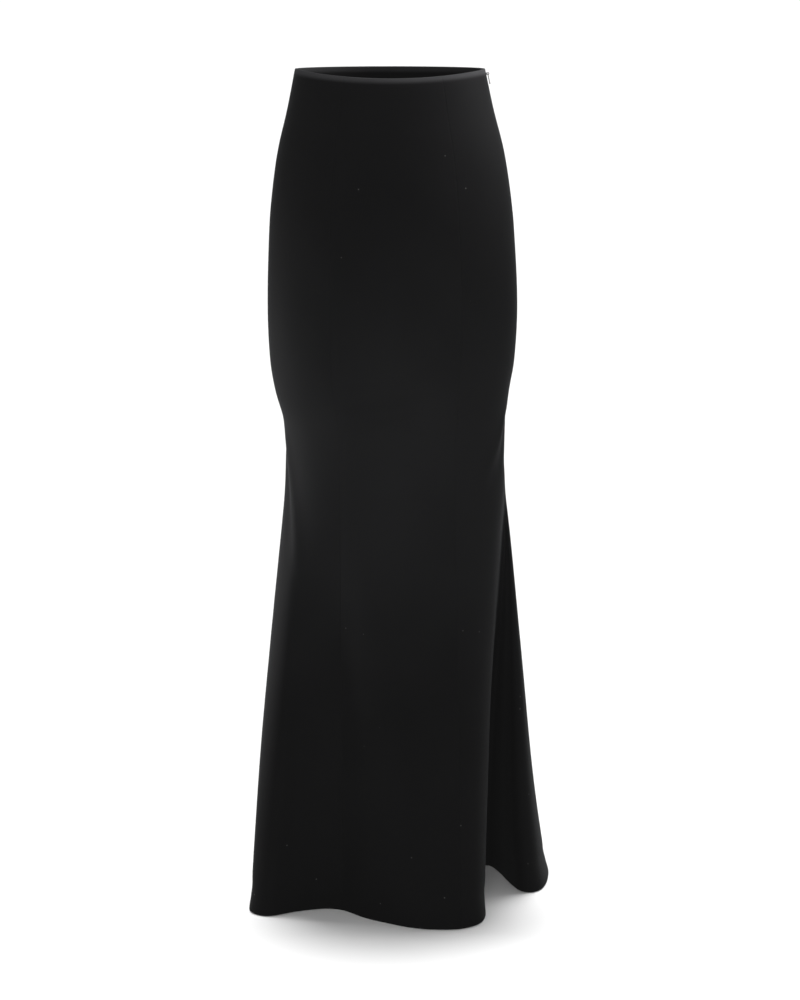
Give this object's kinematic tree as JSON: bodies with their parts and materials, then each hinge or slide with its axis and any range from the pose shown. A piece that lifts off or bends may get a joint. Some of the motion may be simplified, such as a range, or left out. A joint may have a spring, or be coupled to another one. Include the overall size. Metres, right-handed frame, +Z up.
{
  "type": "mermaid fishtail skirt",
  "caption": "Long high-waisted skirt, close from waist to knee and flared below into deep hem flutes, with a concealed side zip; hollow, in its worn shape.",
  "frame": {"origin": "middle of the waist opening, level with the back and side waist edge", "axes": "+Z up out of the waist, -Y towards the front of the skirt, +X towards the wearer's left"},
  "size_m": [0.395, 0.396, 1.0784],
  "materials": {
    "crepe": "matte black heavy crepe with a faint sheen at grazing angles",
    "zip_tape": "black woven zip tape",
    "zip_enamel": "black enamel, satin"
  },
  "bodies": {
    "skirt": {"front_panel": "crepe", "side_front_left": "crepe", "side_front_right": "crepe", "back_left": "crepe", "back_right": "crepe", "zip_tape": "zip_tape", "zip_slider": "zip_enamel"},
    "pull_tab": {"zip_pull": "zip_enamel"}
  },
  "joints": [
    {"name": "zip_pull_swing", "type": "hinge", "parent": "skirt", "child": "pull_tab", "pos_m": [0.12325, 0, -0.00594], "axis": [0, -1, 0], "range_deg": [0, 165]}
  ]
}
